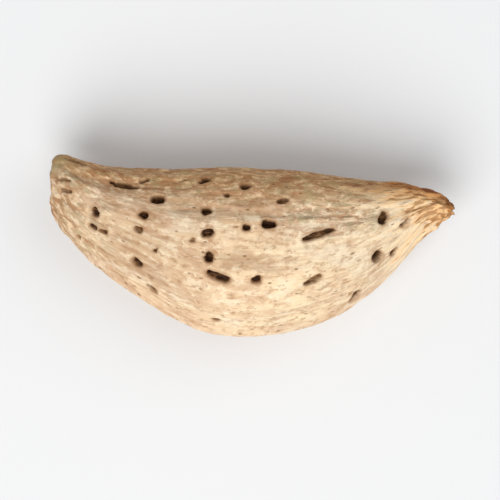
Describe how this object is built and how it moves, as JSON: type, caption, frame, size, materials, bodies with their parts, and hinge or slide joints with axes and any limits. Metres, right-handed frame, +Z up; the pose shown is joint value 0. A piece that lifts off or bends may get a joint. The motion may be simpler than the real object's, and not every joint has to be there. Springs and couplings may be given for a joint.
{
  "type": "almond in shell",
  "caption": "Whole almond in its pale pitted shell, lying on its broad side, with a blunt stem end, a pointed tip and a keel along the curved edge.",
  "frame": {"origin": "Centre of the nut's box in plan, on the surface that it rests on.", "axes": "+X from the blunt stem end to the tip, +Y towards the nearly straight dorsal edge, +Z up through the thin way."},
  "size_m": [0.038, 0.0164, 0.012],
  "materials": {
    "almond_shell": "Dry, matt, corky shell: cream to tan, with fine fibres from end to end, dark brown pits and an orange-brown fibrous tip."
  },
  "bodies": {
    "root": {"almond": "almond_shell"}
  },
  "joints": []
}
